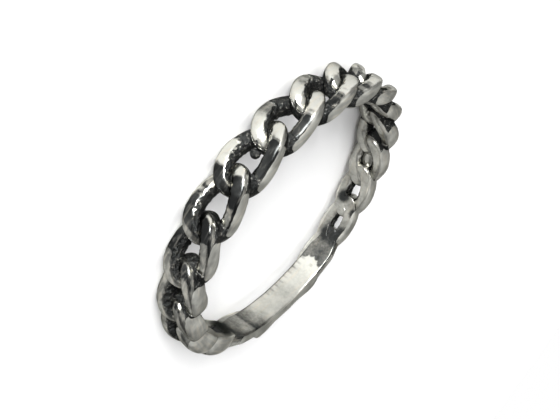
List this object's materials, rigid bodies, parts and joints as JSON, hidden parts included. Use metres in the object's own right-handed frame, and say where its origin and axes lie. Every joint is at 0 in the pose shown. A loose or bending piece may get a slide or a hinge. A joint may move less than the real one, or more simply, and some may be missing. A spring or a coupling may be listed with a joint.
{
  "type": "chain link ring",
  "caption": "Cast finger ring in the form of a flattened curb chain, its links smaller towards a plain band at the back.",
  "frame": {"origin": "middle of the finger hole, on its axis, halfway across the chain's width", "axes": "+Z along the finger hole, upwards as the ring lies on its side; -Y towards the front of the chain, where the links are largest; +Y towards the plain band"},
  "size_m": [0.022, 0.0215, 0.0032],
  "materials": {
    "ring": "polished and antiqued: bright tops, blackened rough recesses, satin inside"
  },
  "bodies": {
    "root": {"ring": "ring"}
  },
  "joints": []
}
